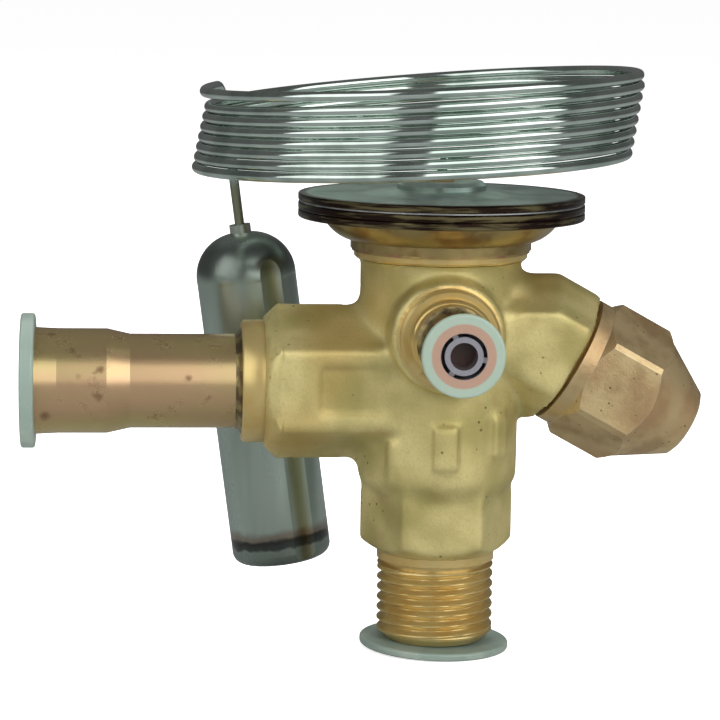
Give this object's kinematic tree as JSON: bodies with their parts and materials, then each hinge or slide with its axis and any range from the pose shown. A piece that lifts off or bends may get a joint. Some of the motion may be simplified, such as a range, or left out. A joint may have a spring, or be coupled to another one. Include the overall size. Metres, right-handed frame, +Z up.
{
  "type": "thermostatic expansion valve",
  "caption": "Angle expansion valve with external equaliser: meters refrigerant by bulb temperature, with wound capillary, angled superheat spindle under a seal cap and transport plugs.",
  "frame": {"origin": "on the inlet axis where the full inlet thread begins, 1.2 mm above the nose face", "axes": "+Z up along the inlet axis to the power element, -X towards the outlet tube, -Y towards the equaliser tube, +X the setting spindle side"},
  "size_m": [0.0923, 0.0593, 0.0795],
  "materials": {
    "forged_brass": "sand-blasted forging, satin",
    "turned_brass": "turned, satin",
    "copper": "drawn copper, satin",
    "braze": "as brazed",
    "element_steel": "heat tinted stainless, satin",
    "stainless": "bright",
    "spring_steel": "drawn wire",
    "capillary": "smooth plated tube",
    "bulb": "dull patinated tube",
    "seal": "moulded",
    "gasket": "flat sheet",
    "plug": "soft moulded, slightly clear"
  },
  "bodies": {
    "valve": {"valve_body": "forged_brass", "element_base": "element_steel", "element_braze": "braze", "diaphragm_ring": "element_steel", "diaphragm": "stainless", "element_cover": "element_steel", "capillary_collar": "braze", "capillary_tube": "capillary", "sensing_bulb": "bulb", "pin_guide": "turned_brass", "gland_nut": "turned_brass", "orifice_housing": "turned_brass", "spring_cup": "turned_brass", "strainer_ring": "turned_brass", "strainer_screen": "stainless", "outlet_tube": "copper", "outlet_braze": "braze", "equaliser_tube": "copper", "equaliser_braze": "braze", "superheat_spring": "spring_steel", "cone_spring": "spring_steel"},
    "stroke": {"thrust_pad": "turned_brass", "push_pin": "stainless", "valve_cone": "stainless"},
    "seat": {"spring_seat": "turned_brass"},
    "spindle_seal": {"spindle_o_ring": "seal"},
    "spindle": {"setting_spindle": "turned_brass"},
    "cap_seal": {"cap_gasket": "gasket"},
    "cap": {"seal_cap": "forged_brass"},
    "outlet_stopper": {"outlet_plug": "plug"},
    "inlet_stopper": {"inlet_plug": "plug"},
    "equaliser_stopper": {"equaliser_plug": "plug"}
  },
  "joints": [
    {"name": "valve_stroke", "type": "slide", "parent": "valve", "child": "stroke", "axis": [0, 0, -1], "range_m": [0, 0.0006], "stiffness_N_per_m": 5900, "springref_m": -0.0015, "deforming": ["superheat_spring", "cone_spring"]},
    {"name": "spindle_feed", "type": "slide", "parent": "valve", "child": "spindle_seal", "axis": [0.8746, 0, -0.4848], "range_m": [-0.0006, 0.0006]},
    {"name": "spindle_turn", "type": "hinge", "parent": "spindle_seal", "child": "spindle", "pos_m": [0.01749, 0, 0.03745], "axis": [0.8746, 0, -0.4848], "range_deg": [-271, 271]},
    {"name": "seat_lift", "type": "slide", "parent": "valve", "child": "seat", "axis": [0, 0, 1], "range_m": [-0.00125, 0.00125], "deforming": ["superheat_spring"]},
    {"name": "cap_feed", "type": "slide", "parent": "valve", "child": "cap_seal", "axis": [0.8746, 0, -0.4848], "range_m": [0, 0.00601]},
    {"name": "cap_turn", "type": "hinge", "parent": "cap_seal", "child": "cap", "pos_m": [0.02624, 0, 0.03261], "axis": [0.8746, 0, -0.4848], "range_deg": [0, 1440]},
    {"name": "outlet_pull", "type": "slide", "parent": "valve", "child": "outlet_stopper", "axis": [-1, 0, 0], "range_m": [0, 0.04]},
    {"name": "inlet_pull", "type": "slide", "parent": "valve", "child": "inlet_stopper", "axis": [0, 0, -1], "range_m": [0, 0.04]},
    {"name": "equaliser_pull", "type": "slide", "parent": "valve", "child": "equaliser_stopper", "axis": [0, -1, 0], "range_m": [0, 0.04]}
  ],
  "couplings": [
    {"joint": "spindle_turn", "follows": "spindle_feed", "rad_per_m": 7854},
    {"joint": "seat_lift", "follows": "spindle_feed", "ratio": -2.0627},
    {"joint": "cap_feed", "follows": "cap_turn", "m_per_rad": 0.00023873}
  ]
}
